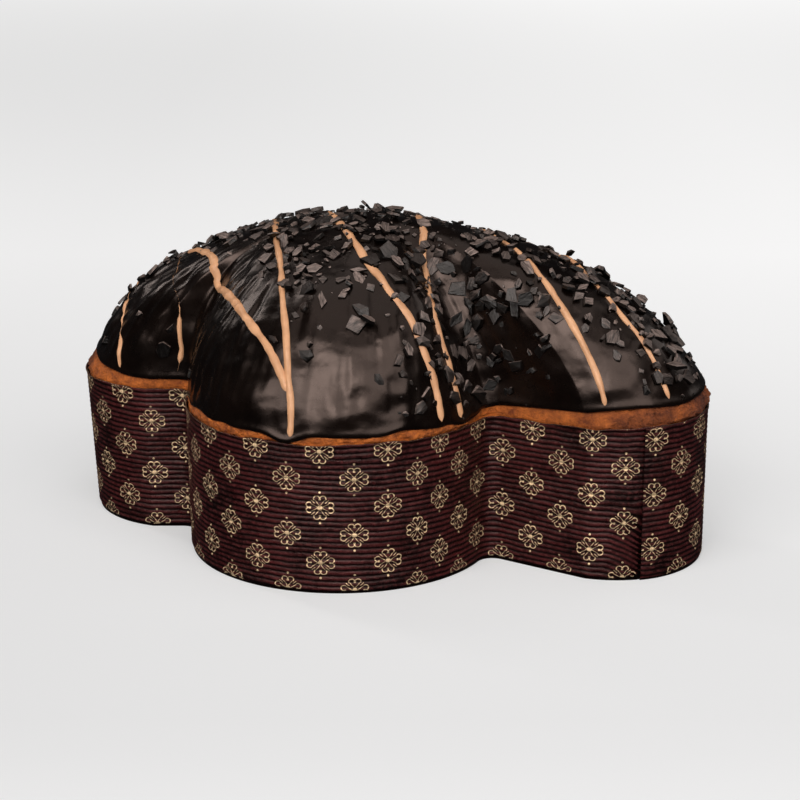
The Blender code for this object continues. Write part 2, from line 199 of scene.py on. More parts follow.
# Colours
GLAZE_DARK = (0.0012, 0.0006, 0.0004, 1)
GLAZE_LIGHT = (0.0036, 0.0018, 0.0012, 1)
GLAZE_SHINE = (1.0, 0.78, 0.70, 1)
FLAKE_DARK = (0.030, 0.022, 0.019, 1)
FLAKE_SCORED_SHEEN = (0.36, 0.275, 0.245, 1)
FLAKE_PLAIN = (0.014, 0.010, 0.0085, 1)
FLAKE_SIDE_SHADE = (0.0022, 0.0014, 0.0012, 1)
CARAMEL_DARK = (0.54, 0.275, 0.138, 1)
CARAMEL_LIGHT = (0.77, 0.425, 0.230, 1)
CRUST_BROWN = (0.21, 0.040, 0.004, 1)
CRUST_GOLDEN = (0.80, 0.215, 0.028, 1)
DARKER_CRUST_DEEP = (0.045, 0.008, 0.003, 1)
DARKER_CRUST_BROWN = (0.24, 0.055, 0.014, 1)
PAPER_DARK = (0.0065, 0.0008, 0.0009, 1)
PAPER_MAROON = (0.066, 0.0095, 0.0105, 1)
PAPER_SPECK_GLINT = (0.11, 0.024, 0.024, 1)
PAPER_GROOVE_SHADE = (0.0010, 0.0003, 0.0003, 1)
PAPER_SHINE = (1.0, 0.72, 0.70, 1)
PRINT_GOLD = (0.92, 0.69, 0.41, 1)
FLOOR_GREY = (0.575, 0.612, 0.645, 1)
FLOOR_GLOW_WHITE = (1, 0.995, 0.99, 1)

# Studio
CAMERA_TARGET = Vector((0.0078, -0.0023, 0.0615))
CAMERA_AZIMUTH = math.radians(20.0)
CAMERA_ELEVATION = math.radians(16.5)
CAMERA_DISTANCE = 0.9468
CAMERA_LENS = 90.0
SENSOR_WIDTH = 36.0
FLOOR_RADIUS = 9.0
FLOOR_SIDES = 64
FLOOR_LEVEL = -0.0001
# Glow of the floor, painted light that stands in for the lamps' reach: ramps away from the camera and
# to the right, each over a range, from and to
FLOOR_RAMPS = (("back", -0.25, 0.60, 0.20, 0.53), ("back", 0.60, 2.80, 0.0, 0.25),
               ("back", -0.45, -0.22, 0.11, 0.0), ("right", -0.25, 0.35, 0.0, 0.10))
WARM = (1.0, 0.93, 0.88)
# Colour and strength of the surroundings, as the object is lit and as the camera sees them
WORLD_DIM = ((0.9, 0.92, 1.0, 1), 0.02)
WORLD_PALE = ((0.80, 0.80, 0.80, 1), 1.0)
LIGHT_TARGET = Vector((0, 0, 0.06))
# Name, azimuth, elevation, distance, width and height, radiance
SOFT_BOXES = (
    ("front", -10, 36, 1.6, (1.3, 0.8), 3.6),
    ("middle", 33, 38, 1.6, (1.9, 1.0), 2.4),
    ("right", 92, 46, 1.6, (1.3, 0.7), 0.7),
    ("back", 142, 26, 1.6, (0.8, 0.7), 0.8),
    ("top", 0, 88, 2.0, (1.8, 1.8), 0.7),
    ("left", -106, 42, 1.4, (0.12, 0.9), 6.5),
)


def smooth_step(value):
    value = np.clip(value, 0.0, 1.0)
    return value * value * (3 - 2 * value)


def arm_distance(x, y, tip_x, tip_radius):
    """Distance from an arm that runs from the wing centre and widens to a round tip."""
    along = np.clip((x - WING_X) / (tip_x - WING_X), 0, 1)
    middle = WING_X + along * (tip_x - WING_X)
    radius = WAIST_RADIUS + along * (tip_radius - WAIST_RADIUS)
    return np.hypot(x - middle, y) - radius


def plan_distance(x, y):
    """Distance from the mould's outline in plan, negative inside."""
    head = arm_distance(x, y, HEAD_X, HEAD_RADIUS)
    body = np.minimum(head, arm_distance(x, y, TAIL_X, TAIL_RADIUS))
    wings = np.hypot(x - WING_X, np.maximum(np.abs(y) - WING_Y, 0)) - WING_RADIUS
    corner = np.hypot(np.maximum(VALLEY_FILLET - body, 0), np.maximum(VALLEY_FILLET - wings, 0))
    return np.maximum(VALLEY_FILLET, np.minimum(body, wings)) - corner


def outline_radii(angles, inset=0.0):
    """How far rays from the wing centre run to the outline moved in by the inset."""
    low = np.zeros(np.shape(angles))
    high = low + 0.26
    for _ in range(28):
        middle = (low + high) / 2
        x = WING_X + middle * np.cos(angles)
        inside = plan_distance(x, middle * np.sin(angles)) < -inset
        low = np.where(inside, middle, low)
        high = np.where(inside, high, middle)
    return low


def outline_points(angles, inset=0.0):
    """Points of the outline in plan, moved in by the inset."""
    radii = outline_radii(angles, inset)
    return np.stack([WING_X + radii * np.cos(angles), radii * np.sin(angles)], 1)


def oval_radii(angles, inset=0.0):
    """The same for the plain oval that the top of the dome takes."""
    length = np.where(np.cos(angles) > 0, TAIL_TIP - WING_X, WING_X - HEAD_TIP) - inset
    width = WING_Y + WING_RADIUS - inset
    return 1 / np.hypot(np.cos(angles) / length, np.sin(angles) / width)


def even_angles(count, start):
    """Angles once round from the start, even in length and turn, and the length walked."""
    samples = 3600
    table = start + 2 * np.pi * np.arange(samples + 1) / samples
    outline = outline_radii(table)
    points = np.stack([np.cos(table), np.sin(table)], 1) * outline[:, None]
    steps = np.diff(points, axis=0)
    lengths = np.hypot(steps[:, 0], steps[:, 1])
    headings = np.unwrap(np.arctan2(steps[:, 1], steps[:, 0]))
    turns = np.abs(np.gradient(headings))
    weight = np.concatenate([[0], np.cumsum(lengths + turns * 0.012)])
    walked = np.concatenate([[0], np.cumsum(lengths)])
    wanted = np.linspace(0, weight[-1], count + 1)
    return np.interp(wanted, weight, table), np.interp(wanted, weight, walked)


def tail_lift(x):
    return TAIL_LIFT * np.clip((x - WING_X) / (TAIL_TIP - WING_X), 0, 1) ** 2


def head_lean(x):
    return -HEAD_LEAN * np.clip((WING_X - x) / (WING_X - HEAD_TIP), 0, 1) ** 2


def lip_heights(angles):
    """Heights of the glaze's lip above the paper, smoothed between the named angles."""
    degrees = np.degrees(angles) % 360
    starts, heights = np.array(LIP_HEIGHTS + ((360, LIP_HEIGHTS[0][1]),)).T
    spot = np.clip(np.searchsorted(starts, degrees, side="right") - 1, 0, len(LIP_HEIGHTS) - 1)
    share = smooth_step((degrees - starts[spot]) / (starts[spot + 1] - starts[spot]))
    wave = 0.0004 * np.sin(17 * np.radians(degrees))
    return heights[spot] + share * (heights[spot + 1] - heights[spot]) + wave


def lip_phis(angles):
    """The dome's own angle, 0 at its top and a right angle at the paper, of the lip."""
    share = np.clip(lip_heights(angles) / DOME_RISE, 0, 1)
    return np.arccos(share ** (1 / (2 * DOME_SIDE_POWER)))


def dome_radii(angles, phis, inset=0.0):
    """Reach of the dome in plan: an oval on top, the outline at the paper, hollowed flanks."""
    share = np.sin(phis) ** (2 / DOME_PLAN_POWER)
    edge = outline_radii(angles, inset) * share + oval_radii(angles, inset) * (1 - share)
    turned = np.abs(turned_from(angles))
    hollow = VALLEY_HOLLOW * np.exp(-((turned - HOLLOW_ANGLE) / HOLLOW_WIDTH) ** 2)
    return share * edge * (1 - 4 * hollow * share * (1 - share))


def dome(angles, phis, inset=0.0):
    """Points of the glazed dome, or of the same dome moved in by the inset."""
    angles, phis = np.broadcast_arrays(np.asarray(angles, float), np.asarray(phis, float))
    reach = dome_radii(angles, phis, inset)
    rise = np.maximum(np.cos(phis), 0.0) ** (2 * DOME_SIDE_POWER)
    x = WING_X + reach * np.cos(angles)
    y = reach * np.sin(angles)
    height = DOME_RISE - inset + DOME_TILT * (x - WING_X)
    swell = 0.0
    for place, tall, width in LOBE_SWELLS:
        swell = swell + tall * np.exp(-((x - place) ** 2 + y ** 2) / width ** 2)
    z = CASE_HEIGHT + tail_lift(x) + rise * height + swell * np.minimum(1.0, 3 * rise)
    return np.stack([x, y, z], -1)


def turned_from(angles, middle=0.0):
    """How far angles are turned from the middle one, both ways, up to half a turn."""
    return np.angle(np.exp(1j * (angles - middle)))


def spokes(angles):
    """Level directions of length 1 at the polar angles."""
    return np.stack([np.cos(angles), np.sin(angles), 0 * angles], -1)


def unit(vectors):
    return vectors / np.maximum(np.linalg.norm(vectors, axis=-1, keepdims=True), 1e-12)


def dome_frames(angles, phis):
    """Points of the dome with their outward normals."""
    step = 0.004
    points = dome(angles, phis)
    around = dome(angles + step, phis) - dome(angles - step, phis)
    down = dome(angles, phis + step) - dome(angles, phis - step)
    return points, unit(np.cross(down, around))


def dome_places(x, y):
    """The polar angles and the dome's own angles over points of the plan."""
    angles = np.arctan2(y, x - WING_X)
    distances = np.hypot(x - WING_X, y)
    phis = np.linspace(0, math.pi / 2, 500)
    reach = dome_radii(*np.meshgrid(angles, phis, indexing="ij"))
    reach = np.maximum.accumulate(reach, axis=1)
    return angles, np.array([np.interp(d, r, phis) for d, r in zip(distances, reach)])


def swirl(points, wavelength, seed, stretch=(1.0, 1.0, 1.0)):
    """Smooth unevenness of about -1 to 1: seeded plane waves of about one wavelength."""
    draw = np.random.default_rng(seed)
    total = np.zeros(points.shape[:-1])
    scaled = points / np.array(stretch)
    for _ in range(WAVE_COUNT):
        direction = draw.normal(size=3)
        direction /= np.linalg.norm(direction)
        length = wavelength * draw.uniform(0.7, 1.6)
        total += np.sin(2 * np.pi * (scaled @ direction) / length + draw.uniform(0, 2 * np.pi))
    return total / math.sqrt(WAVE_COUNT)


def layered(points, layers):
    """The sum of layers of waves, each given by its height, wavelength and seed."""
    return sum(height * swirl(points, wavelength, seed) for height, wavelength, seed in layers)


def flow_streaks(angles, phis, seed):
    """Ridges of glaze that ran downhill: they follow the polar angle and wander a little."""
    draw = np.random.default_rng(seed)
    total = 0.0
    for _ in range(STREAK_COUNT):
        around = draw.integers(26, 78)
        wander = draw.uniform(-5, 5)
        start = draw.uniform(0, 2 * np.pi)
        total = total + np.sin(around * angles + wander * phis + start)
    return total / math.sqrt(STREAK_COUNT)


def glaze_relief(points, angles, phis):
    """How far the glaze's surface stands off the plain dome: most streaked on the left flanks."""
    side = smooth_step((phis - 0.40) / 0.5)
    left = 0.30 + 0.70 * smooth_step((-0.015 - points[..., 0]) / 0.040)
    streaks = GLAZE_STREAK * flow_streaks(angles, phis, 5) * side * left
    creases = GLAZE_CREASE * (1 - 2 * np.abs(flow_streaks(angles, phis, 8))) * side * left
    return layered(points, GLAZE_WAVES) + streaks + creases + layered(points, GLAZE_RIPPLES)


def grid_faces(rows, columns, wrap, offset=0):
    """Quads of a grid of points; columns close on themselves if wrap is set."""
    reach = columns if wrap else columns - 1
    i, k = np.meshgrid(np.arange(rows - 1), np.arange(reach), indexing="ij")
    n = (k + 1) % columns
    quads = np.stack([i * columns + k, (i + 1) * columns + k,
                      (i + 1) * columns + n, i * columns + n], -1)
    return (quads.reshape(-1, 4) + offset).tolist()


def cap_faces(columns, centre, first, turned):
    """Triangles between a ring that starts at a point and one central point."""
    k = np.arange(columns)
    n = (k + 1) % columns
    sides = (first + k, first + n) if turned else (first + n, first + k)
    return np.stack([sides[0], sides[1], np.full(columns, centre)], -1).tolist()


def mesh_object(name, points, faces, material, smooth=True):
    data = bpy.data.meshes.new(name)
    data.from_pydata(np.asarray(points, float).tolist(), [], faces)
    if smooth:
        data.shade_smooth()
    data.materials.append(material)
    data.update()
    thing = bpy.data.objects.new(name, data)
    bpy.context.scene.collection.objects.link(thing)
    return thing


def point_values(thing, name, values):
    """Keeps three numbers for each point of a mesh, for its material to read."""
    layer = thing.data.attributes.new(name, "FLOAT_VECTOR", "POINT")
    layer.data.foreach_set("vector", np.asarray(values, np.float32).ravel())


def closed_rings(name, rings, top, bottom, material):
    """A closed body through rings of points, from the point on top to the last point."""
    rows, columns = rings.shape[:2]
    points = np.concatenate([rings.reshape(-1, 3), [top], [bottom]])
    faces = grid_faces(rows, columns, True)
    faces += cap_faces(columns, rows * columns, 0, True)
    faces += cap_faces(columns, rows * columns + 1, (rows - 1) * columns, False)
    return mesh_object(name, points, faces, material)


def joins(operation):
    """A method of the class below that joins two numbers by an operation."""
    return lambda self, first, second: self.math(operation, first, second)


class Nodes:
    """Small helper that adds shader nodes and joins them."""

    def __init__(self, name):
        self.material = bpy.data.materials.new(name)
        self.material.use_nodes = True
        self.tree = self.material.node_tree
        self.shader = self.tree.nodes["Principled BSDF"]

    def link(self, value, socket):
        if isinstance(value, bpy.types.NodeSocket):
            self.tree.links.new(value, socket)
        else:
            socket.default_value = value

    def add(self, kind, inputs=None, **settings):
        node = self.tree.nodes.new(kind)
        for key, value in settings.items():
            setattr(node, key, value)
        for key, value in (inputs or {}).items():
            self.link(value, node.inputs[key])
        return node

    def math(self, operation, first, second=0.0):
        node = self.add("ShaderNodeMath", operation=operation)
        for socket, value in zip(node.inputs, (first, second)):
            self.link(value, socket)
        return node.outputs[0]

    plus, minus, times, over = joins("ADD"), joins("SUBTRACT"), joins("MULTIPLY"), joins("DIVIDE")
    most, least = joins("MAXIMUM"), joins("MINIMUM")

    def apart(self, first, second):
        return self.math("ABSOLUTE", self.minus(first, second))

    def length(self, across, up):
        return self.math("SQRT", self.plus(self.times(across, across), self.times(up, up)))

    def place(self):
        return self.add("ShaderNodeTexCoord").outputs["Object"]

    def three(self, vector):
        """The three numbers of a vector."""
        return self.add("ShaderNodeSeparateXYZ", {"Vector": vector}).outputs[:]

    def kept(self, name):
        """The three numbers that a mesh keeps for each point under a name."""
        return self.three(self.add("ShaderNodeAttribute", attribute_name=name).outputs["Vector"])

    def noise(self, scale, detail=3.0, roughness=0.55, vector=None):
        inputs = {"Scale": scale, "Detail": detail, "Roughness": roughness}
        inputs["Vector"] = self.place() if vector is None else vector
        return self.add("ShaderNodeTexNoise", inputs).outputs["Fac"]

    def span(self, value, from_low, from_high, to_low=0.0, to_high=1.0):
        """Maps a number from one range to another, held at the ends."""
        inputs = {"Value": value, "From Min": from_low, "From Max": from_high,
                  "To Min": to_low, "To Max": to_high}
        return self.add("ShaderNodeMapRange", inputs).outputs["Result"]

    def mix(self, share, first, second):
        node = self.add("ShaderNodeMix", data_type="RGBA")
        self.link(share, node.inputs[0])
        self.link(first, node.inputs[6])
        self.link(second, node.inputs[7])
        return node.outputs[2]

    def bump(self, height, strength, distance, normal=None):
        inputs = {"Height": height, "Strength": strength, "Distance": distance}
        if normal is not None:
            inputs["Normal"] = normal
        return self.add("ShaderNodeBump", inputs).outputs["Normal"]

    def finish(self, **inputs):
        names = {"colour": "Base Color", "roughness": "Roughness", "metallic": "Metallic",
                 "normal": "Normal", "specular": "Specular IOR Level", "tint": "Specular Tint"}
        for key, value in inputs.items():
            self.link(value, self.shader.inputs[names[key]])
        return self.material


def glaze_material():
    """Dark chocolate: glossy, with a shine that is a little warm."""
    nodes = Nodes("chocolate_glaze")
    colour = nodes.mix(nodes.span(nodes.noise(38.0, 3.0), 0.35, 0.7), GLAZE_DARK, GLAZE_LIGHT)
    rough = nodes.span(nodes.noise(90.0, 4.0), 0.3, 0.75, 0.20, 0.34)
    fine = nodes.bump(nodes.noise(420.0, 3.0), 0.10, 0.0005)
    waves = nodes.bump(nodes.noise(95.0, 2.0), 0.30, 0.0012, fine)
    return nodes.finish(colour=colour, roughness=rough, normal=waves, tint=GLAZE_SHINE)


def flake_material():
    """Satin chocolate: scored tops with a painted pale sheen, some plain ones, and painted shade on
    the sides.
    """
    nodes = Nodes("chocolate_flake")
    shade, along, across = nodes.kept("tone")
    facing = nodes.three(nodes.add("ShaderNodeNewGeometry").outputs["Normal"])
    scored = nodes.add("ShaderNodeCombineXYZ", {
        "X": nodes.times(along, 260.0), "Y": nodes.times(across, 1500.0),
        "Z": nodes.times(shade, 40.0)}).outputs[0]
    score = nodes.noise(1.0, 3.0, 0.6, vector=scored)
    # Pale streaks along the score marks: painted satin sheen on the tops.
    scored_sheen = nodes.mix(nodes.span(score, 0.35, 0.70), FLAKE_DARK, FLAKE_SCORED_SHEEN)
    plain = nodes.mix(nodes.span(shade, 0.35, 1.0), scored_sheen, FLAKE_PLAIN)
    # Painted shade: the less a face points up, the more it takes the dark side colour, so the sides
    # look shaded.
    colour = nodes.mix(nodes.span(facing[2], 0.25, 0.75), FLAKE_SIDE_SHADE, plain)
    rough = nodes.span(score, 0.3, 0.7, 0.26, 0.46)
    grain = nodes.bump(score, 0.55, 0.0007, nodes.bump(nodes.noise(900.0, 4.0), 0.25, 0.0005))
    return nodes.finish(colour=colour, roughness=rough, normal=grain)


def drizzle_material():
    """Caramel icing: opaque and half glossy."""
    nodes = Nodes("caramel_drizzle")
    cloud = nodes.span(nodes.noise(120.0, 3.0), 0.3, 0.7)
    return nodes.finish(colour=nodes.mix(cloud, CARAMEL_DARK, CARAMEL_LIGHT), roughness=0.42)


def crust_material():
    """Baked crust: blotched golden brown, darker where the mesh's numbers say: towards the ends and
    along the torn fold.
    """
    nodes = Nodes("baked_crust")
    blotch = nodes.span(nodes.noise(160.0, 6.0, 0.72), 0.32, 0.68)
    golden = nodes.mix(blotch, CRUST_BROWN, CRUST_GOLDEN)
    darker_crust = nodes.mix(blotch, DARKER_CRUST_DEEP, DARKER_CRUST_BROWN)
    colour = nodes.mix(nodes.kept("crust_darkening")[0], golden, darker_crust)
    pores = nodes.bump(nodes.noise(1500.0, 4.0, 0.7), 0.9, 0.0010)
    lumps = nodes.bump(nodes.noise(420.0, 4.0, 0.65), 0.8, 0.0018, pores)
    return nodes.finish(colour=colour, roughness=0.72, normal=lumps)


def folded(nodes, value, period):
    """Distance of a number from the nearest whole number of periods."""
    cell = nodes.over(value, period)
    return nodes.times(nodes.apart(cell, nodes.math("ROUND", cell)), period)


def ornament(nodes, along, up):
    """Distance in metres from the lines of a four-petalled ornament set in a staggered net."""
    half_across, half_up = PRINT_ACROSS / 2, PRINT_UP / 2
    across = folded(nodes, nodes.minus(along, PRINT_START[0]), PRINT_ACROSS)
    rise = folded(nodes, nodes.minus(up, PRINT_START[1]), PRINT_UP)
    share = nodes.plus(nodes.over(across, half_across), nodes.over(rise, half_up))
    other = nodes.math("GREATER_THAN", share, 1.0)
    far_across = nodes.apart(nodes.times(other, half_across), across)
    far_rise = nodes.apart(nodes.times(other, half_up), rise)
    wide = nodes.times(far_across, PETAL_SQUEEZE)
    outward = nodes.most(wide, far_rise)
    aside = nodes.least(wide, far_rise)
    petal = petals(nodes, outward, aside)
    stamen = stamens(nodes, outward, aside)
    drop = nodes.length(nodes.minus(outward, DROP_PLACE), aside)
    centre = nodes.length(outward, aside)
    beads = nodes.length(far_across, nodes.apart(far_rise, BEAD_PLACE))
    found = nodes.least(petal, stamen)
    for middle, radius in ((drop, DROP_RADIUS), (centre, CENTRE_RADIUS), (beads, BEAD_RADIUS)):
        found = nodes.least(found, nodes.minus(middle, radius))
    return found


def petals(nodes, outward, aside):
    """Distance from the petals: sides that flare from the centre, with round lobes at the end."""
    lobe = nodes.length(nodes.minus(outward, LOBE_PLACE[0]), nodes.minus(aside, LOBE_PLACE[1]))
    lobe = nodes.apart(lobe, LOBE_RADIUS)
    flare = nodes.times(nodes.minus(outward, PETAL_FOOT), PETAL_FLARE)
    taper = nodes.plus(nodes.times(nodes.apart(aside, flare), PETAL_SLIM), THINNER)
    too_near = nodes.math("LESS_THAN", outward, PETAL_START)
    taper = nodes.plus(taper, nodes.times(too_near, FAR_OFF))
    inner = nodes.math("LESS_THAN", outward, PETAL_NECK)
    return nodes.plus(nodes.times(inner, nodes.least(taper, FAR_OFF)),
                      nodes.times(nodes.minus(1.0, inner), lobe))


def stamens(nodes, outward, aside):
    """Distance from the short lines between the petals."""
    diagonal = nodes.times(nodes.minus(outward, aside), DIAGONAL)
    reach = nodes.times(nodes.plus(outward, aside), DIAGONAL)
    past = nodes.most(nodes.minus(reach, STAMEN_SPAN[1]), nodes.minus(STAMEN_SPAN[0], reach))
    return nodes.plus(nodes.most(diagonal, nodes.most(past, 0.0)), THINNER)


def paper_material():
    """Maroon baking paper: satin, mottled, with painted glints in light specks, painted shade in its
    grooves, and a worn gold print that the painted groove shade dims.
    """
    nodes = Nodes("printed_paper")
    along, up, ridge = nodes.kept("wall")
    line = nodes.span(ornament(nodes, along, up), *LINE_EDGE, 1.0, 0.0)
    wear = nodes.span(nodes.noise(900.0, 3.0, 0.6), 0.30, 0.52, 0.30, 1.0)
    # Painted shade on the print: the gold is dimmed in the paper's grooves and kept bright on its
    # ridges.
    high = nodes.span(ridge, 0.10, 0.55, 0.45, 1.0)
    gold = nodes.times(nodes.times(line, wear), high)
    cloud = nodes.span(nodes.noise(42.0, 5.0, 0.65), 0.36, 0.66)
    # Light specks are painted glints on the satin paper.
    speck_glint = nodes.span(nodes.noise(520.0, 4.0, 0.7), 0.45, 0.75)
    mottled_with_glints = nodes.mix(speck_glint, nodes.mix(cloud, PAPER_DARK, PAPER_MAROON), PAPER_SPECK_GLINT)
    # Painted shade: the grooves darken to near black, the ridges keep the paper's colour.
    shaded_ground = nodes.mix(nodes.span(ridge, 0.10, 0.85, 0.95, 0.0), mottled_with_glints, PAPER_GROOVE_SHADE)
    rough = nodes.span(nodes.noise(240.0, 4.0), 0.3, 0.7, 0.26, 0.50)
    fibres = nodes.bump(nodes.noise(1100.0, 4.0, 0.65), 0.45, 0.0006)
    dents = nodes.bump(nodes.noise(210.0, 3.0), 0.35, 0.0016, fibres)
    return nodes.finish(colour=nodes.mix(gold, shaded_ground, PRINT_GOLD), roughness=rough, specular=0.38,
                        metallic=nodes.times(gold, 0.35), normal=dents, tint=PAPER_SHINE)


def wall_heights(x, angles):
    """Heights of the paper's upper edge, a little wavy and higher at the tail."""
    wave = RIM_WAVE * np.sin(9 * angles) * np.sin(4 * angles)
    return CASE_HEIGHT + tail_lift(x) + wave


def print_shift(angles):
    """How far the print is moved along the sheet, on the tail's front and after the seam."""
    degrees = np.degrees(angles)
    front = PRINT_TAIL_SHIFT * smooth_step((degrees - 300) / 22)
    return front + PRINT_SEAM_SHIFT * (1 - smooth_step((degrees - 30) / 120))


def seam_offsets(past):
    """How far the paper stands out after its cut edge, by the angle past it, and is tucked in."""
    lapped = np.where(past > 2 * np.pi - 0.0001, LAP_TUCK, 0.0)
    return SEAM_STEP * (1 - smooth_step(past / SEAM_FADE)), lapped


def lapped_lines():
    """Angles and length walked round the wall to the end of the lap, and the length without it."""
    angles, walked = even_angles(WALL_COLUMNS, SEAM_ANGLE)
    lap = np.linspace(0, SEAM_LAP, LAP_STEPS + 1)[1:]
    perimeter = walked[-1]
    lap_step = np.interp(SEAM_ANGLE + lap, angles, walked)
    angles = np.concatenate([angles, angles[-1] + lap])
    return angles, np.concatenate([walked, perimeter + lap_step]), perimeter


def wall_relief(walked, perimeter, past, share, tops):
    """Heights of the wall's points, how far each stands out, and 1 on ridges to 0 in grooves."""
    z = share * tops[None]
    flat = np.stack([np.broadcast_to(walked, z.shape), z, np.zeros_like(z)], -1)
    wobble = 0.00055 * swirl(flat, 0.050, 22, (1.6, 0.6, 1)) + 0.00016 * swirl(flat, 0.009, 23)
    to_seam = np.clip(perimeter - walked, 0, None)[None]
    near = np.clip(1 - to_seam / CRUMPLE_REACH, 0, 1) ** 1.5
    crumple = near * smooth_step((CRUMPLE_TOP - z) / CRUMPLE_FADE)
    level = z + wobble + CRUMPLE_LIFT * crumple
    ridge = 0.5 + 0.5 * np.cos(2 * np.pi * level / RIDGE_PITCH)
    depth = RIDGE_DEPTH * (0.82 + 0.22 * swirl(flat, 0.016, 24, (1.8, 0.7, 1)))
    raised, lapped = seam_offsets(past)
    offset = raised - depth * (1 - ridge) - CRUMPLE_DENT * crumple - lapped
    curl = RIM_CURL * smooth_step((share - 0.965) / 0.035)
    base = -FOOT_TUCK * smooth_step((FOOT_HEIGHT - z) / FOOT_HEIGHT)
    return z, offset + curl + base, ridge


def wall_points(plan, outward, offset, share, z):
    """Points of the wall over its plan, moved outwards and leaning back at the head."""
    x = plan[None, :, 0] + outward[None, :, 0] * offset + share * head_lean(plan[:, 0])[None]
    y = plan[None, :, 1] + outward[None, :, 1] * offset
    return np.stack([x, y, np.broadcast_to(z, x.shape)], -1)


def make_mould(material):
    """The ridged sheet of paper, lapped at its seam, and the flat floor it is glued to."""
    angles, walked, perimeter = lapped_lines()
    plan = outline_points(angles)
    heading = unit(np.gradient(plan, axis=0))
    outward = np.stack([heading[:, 1], -heading[:, 0]], 1)
    notches = swirl(np.stack([walked, walked * 0, walked * 0], 1), 0.011, 21)
    tops = wall_heights(plan[:, 0], angles) + RIM_NOTCH * notches
    share = np.linspace(0, 1, WALL_ROWS)[:, None]
    past = (angles - SEAM_ANGLE)[None]
    z, offset, ridge = wall_relief(walked, perimeter, past, share, tops)
    outer = wall_points(plan, outward, offset, share, z)
    low = np.array(INNER_SHARES)[:, None]
    raised, lapped = seam_offsets(past)
    inner_offset = raised - SHEET - lapped - INNER_GAP * (low < 0.99)
    inner = wall_points(plan, outward, inner_offset, low, low * tops[None])
    sheet = np.concatenate([outer, inner])
    rows, columns = sheet.shape[:2]
    faces = [quad[::-1] for quad in grid_faces(rows, columns, False)]
    first = np.arange(columns - 1)
    last = (rows - 1) * columns + first
    faces += np.stack([first, first + 1, last + 1, last], -1)[:, ::-1].tolist()
    values = np.zeros((rows, columns, 3))
    values[:WALL_ROWS, :, 0] = (walked + print_shift(angles))[None]
    values[:WALL_ROWS, :, 1] = z
    values[:WALL_ROWS, :, 2] = ridge
    # The inner face keeps 0 as its ridge number, so all of it takes the painted groove shade.
    values[WALL_ROWS:, :, :2] = (PRINT_ACROSS / 4, PRINT_UP / 4)
    points = sheet.reshape(-1, 3)
    floor_points, floor_faces = mould_floor(angles[:WALL_COLUMNS], len(points))
    points = np.concatenate([points, floor_points])
    thing = mesh_object("mould_paper", points, faces + floor_faces, material)
    # The floor disc's ridge number of 0.6 gives it some of the painted groove shade.
    spare = np.tile([PRINT_ACROSS / 4, PRINT_UP / 4, 0.6], (len(floor_points), 1))
    point_values(thing, "wall", np.concatenate([values.reshape(-1, 3), spare]))
    return thing


def mould_floor(angles, offset):
    """The flat disc of paper under the loaf."""
    plan = outline_points(angles, FLOOR_INSET)
    count = len(angles)
    low = np.column_stack([plan, np.zeros(count)])
    high = np.column_stack([plan, np.full(count, CASE_FLOOR)])
    points = np.concatenate([high, low, [[WING_X, 0, CASE_FLOOR], [WING_X, 0, 0]]])
    faces = grid_faces(2, count, True, offset)
    faces += cap_faces(count, offset + 2 * count, offset, True)
    faces += cap_faces(count, offset + 2 * count + 1, offset + count, False)
    return points, faces


def darker_ends(angles):
    """How much darker the crust is, by the angle: most at the tail, less at the head."""
    tail = smooth_step(1 - np.abs(turned_from(angles)) / 0.42)
    head = smooth_step(1 - np.abs(turned_from(angles, np.pi)) / 0.5)
    return np.maximum(tail, 0.6 * head)


def crust_rings(angles, end, torn):
    """Rings of the loaf from under the glaze down to its foot, and how dark each is."""
    lips = lip_phis(angles)
    inset = PAPER + CRUST_GAP
    x, y = outline_points(angles, inset).T
    rim = wall_heights(x + inset * np.cos(angles), angles)
    base = np.stack([x + head_lean(x), y, rim], -1)
    top = dome(angles, np.minimum(lips + math.radians(1.1), math.radians(89.3)), CRUST_INSET)
    outward = spokes(angles)
    rings = [dome(angles, lips * (row + 1) / (COVERED_ROWS + 0.6), GLAZE + COVERED_GAP)
             for row in range(COVERED_ROWS)]
    darkening = [0 * angles] * COVERED_ROWS
    for row in range(CRUST_ROWS + 1):
        share = 1 - row / CRUST_ROWS
        swollen = math.sin(math.pi * share) ** 0.8
        bulge = swollen * (CRUST_SWELL + END_SWELL * end + TORN_SWELL * torn)
        rings.append(base + (top - base) * share + outward * bulge[:, None])
    floor = np.full_like(x, CASE_FLOOR + BREAD_GAP)
    rings.append(base - np.array([0, 0, BREAD_FOOT]))
    rings.append(np.column_stack([x, y, floor + BREAD_FOOT]))
    rings.append(np.column_stack([outline_points(angles, inset + BREAD_FOOT), floor]))
    darkening += [end] * (CRUST_ROWS + 4)
    return np.array(rings), np.array(darkening), outward


def make_crust(material):
    """The loaf, with the baked crust that shows between the paper and the glaze."""
    angles, _ = even_angles(CRUST_COLUMNS, 0.0)
    angles = angles[:-1]
    torn = np.exp(-((np.degrees(turned_from(angles)) - TORN_ANGLE) / TORN_WIDTH) ** 2)
    rings, darkening, outward = crust_rings(angles, darker_ends(angles), torn)
    band = slice(COVERED_ROWS - 1, COVERED_ROWS + CRUST_ROWS + 2)
    spots = rings[band]
    rough = layered(spots, CRUST_WAVES)
    fold = torn[None] * TORN_FOLD * np.abs(swirl(spots, 0.007, 34))
    fade = np.ones(spots.shape[0])[:, None]
    fade[-2:] = 0.2
    rings[band] = spots + outward[None] * ((rough - fold) * fade)[..., None]
    darkening[band] = np.clip(darkening[band] + 0.30 * swirl(spots, 0.030, 35) + 0.5 * torn[None], 0, 1)
    crown = dome(np.zeros(1), np.zeros(1), GLAZE + BREAD_GAP)[0]
    bottom = [WING_X, 0, CASE_FLOOR + BREAD_GAP]
    thing = closed_rings("bread_crust", rings, crown, bottom, material)
    values = np.zeros((len(thing.data.vertices), 3))
    values[:darkening.size, 0] = darkening.ravel()
    point_values(thing, "crust_darkening", values)
    return thing


